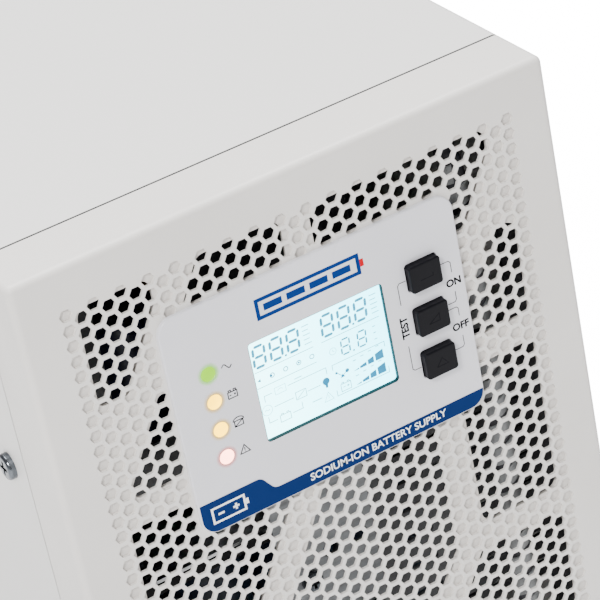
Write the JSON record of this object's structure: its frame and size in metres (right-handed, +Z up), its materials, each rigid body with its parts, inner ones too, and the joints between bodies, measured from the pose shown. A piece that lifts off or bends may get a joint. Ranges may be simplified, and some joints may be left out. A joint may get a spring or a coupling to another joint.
{
  "type": "tower uninterruptible power supply",
  "caption": "Tower backup power cabinet with a sodium-ion pack inside, a hexagon-mesh front, a display panel with keys and lamps, and rear fans and sockets.",
  "frame": {"origin": "floor level under the middle of the whole object", "axes": "+Z up, front looks along -Y, +X to the right of someone facing the front"},
  "size_m": [0.1952, 0.4254, 0.318],
  "materials": {
    "cover_paint": "fine-textured off-white paint",
    "zinc_sheet": "zinc-plated sheet",
    "dark_sheet": "dark powder paint",
    "zinc_screw": "bright zinc",
    "foot_rubber": "matt",
    "bezel_plastic": "warm off-white moulding",
    "web_plastic": "off-white moulding",
    "panel_plastic": "cool light grey",
    "blue_film": "printed blue film",
    "screen_glass": "lit display glass",
    "backlight": "lit diffuser",
    "screen_frame": "dark teal",
    "lamp_green": "lit lens",
    "lamp_amber": "lit lens",
    "lamp_red": "lit lens",
    "key_plastic": "satin black",
    "board_green": "solder mask",
    "black_plastic": "black moulding",
    "cell_can": "sleeved cell can",
    "link_metal": "bare strip",
    "red_insulation": "red insulation",
    "black_insulation": "black insulation",
    "heatsink_metal": "extruded",
    "capacitor_sleeve": "shrink sleeve",
    "copper_wire": "enamelled wire",
    "ferrite": "grey ferrite",
    "relay_case": "blue case",
    "harness_jacket": "spiral-wrapped bundle",
    "ribbon": "flat grey ribbon",
    "rear_paint": "fine-textured paint",
    "guard_chrome": "bright wire",
    "socket_plastic": "black moulding",
    "contact_brass": "bare brass",
    "breaker_white": "white button",
    "port_metal": "plated shell",
    "stud_brass": "bare brass"
  },
  "bodies": {
    "cabinet": {"wrap_cover": "cover_paint", "base_chassis": "zinc_sheet", "front_bulkhead": "dark_sheet", "bracket_plate": "zinc_sheet", "cover_screws": "zinc_screw", "chassis_screws": "zinc_screw", "rubber_feet": "foot_rubber", "front_bezel": "bezel_plastic", "bezel_web": "web_plastic", "bezel_posts": "web_plastic", "control_panel": "panel_plastic", "label_strip": "blue_film", "lcd_glass": "screen_glass", "lcd_backlight": "backlight", "lcd_frame": "screen_frame", "lamp_green": "lamp_green", "lamp_amber": "lamp_amber", "lamp_red": "lamp_red", "display_board": "board_green", "key_switches": "black_plastic", "display_cover": "black_plastic", "board_screws": "zinc_screw", "sodium_cells": "cell_can", "battery_tray": "zinc_sheet", "cell_holders": "black_plastic", "cell_links": "link_metal", "battery_board": "board_green", "battery_strap": "zinc_sheet", "battery_lead_positive": "red_insulation", "battery_lead_negative": "black_insulation", "battery_plug": "black_plastic", "mid_shelf": "zinc_sheet", "power_board": "board_green", "board_posts": "zinc_screw", "heatsinks": "heatsink_metal", "power_transistors": "black_plastic", "bus_capacitors": "capacitor_sleeve", "choke_coils": "copper_wire", "transformer_core": "ferrite", "transformer_winding": "copper_wire", "transfer_relays": "relay_case", "front_harness": "harness_jacket", "display_cable": "ribbon", "rear_panel": "rear_paint", "fan_frames": "black_plastic", "fan_guards": "guard_chrome", "outlet_sockets": "socket_plastic", "mains_contacts": "contact_brass", "mains_inlet": "socket_plastic", "breaker_body": "black_plastic", "data_ports": "port_metal", "card_slot_cover": "rear_paint", "earth_stud": "stud_brass", "rear_screws": "zinc_screw"},
    "key_test": {"key_test": "key_plastic"},
    "key_on": {"key_on": "key_plastic"},
    "key_off": {"key_off": "key_plastic"},
    "fan_left": {"fan_rotor_left": "black_plastic"},
    "fan_right": {"fan_rotor_right": "black_plastic"},
    "breaker_button": {"breaker_button": "breaker_white"}
  },
  "joints": [
    {"name": "key_test_press", "type": "slide", "parent": "cabinet", "child": "key_test", "axis": [0, 1, 0], "range_m": [0, 0.0008], "stiffness_N_per_m": 700, "springref_m": -0.0008},
    {"name": "key_on_press", "type": "slide", "parent": "cabinet", "child": "key_on", "axis": [0, 1, 0], "range_m": [0, 0.0008], "stiffness_N_per_m": 700, "springref_m": -0.0008},
    {"name": "key_off_press", "type": "slide", "parent": "cabinet", "child": "key_off", "axis": [0, 1, 0], "range_m": [0, 0.0008], "stiffness_N_per_m": 700, "springref_m": -0.0008},
    {"name": "fan_left_spin", "type": "hinge", "parent": "cabinet", "child": "fan_left", "pos_m": [-0.044, 0.19, 0.262], "axis": [0, 1, 0], "continuous": true},
    {"name": "fan_right_spin", "type": "hinge", "parent": "cabinet", "child": "fan_right", "pos_m": [0.044, 0.19, 0.262], "axis": [0, 1, 0], "continuous": true},
    {"name": "breaker_reset", "type": "slide", "parent": "cabinet", "child": "breaker_button", "axis": [0, 1, 0], "range_m": [0, 0.004]}
  ]
}
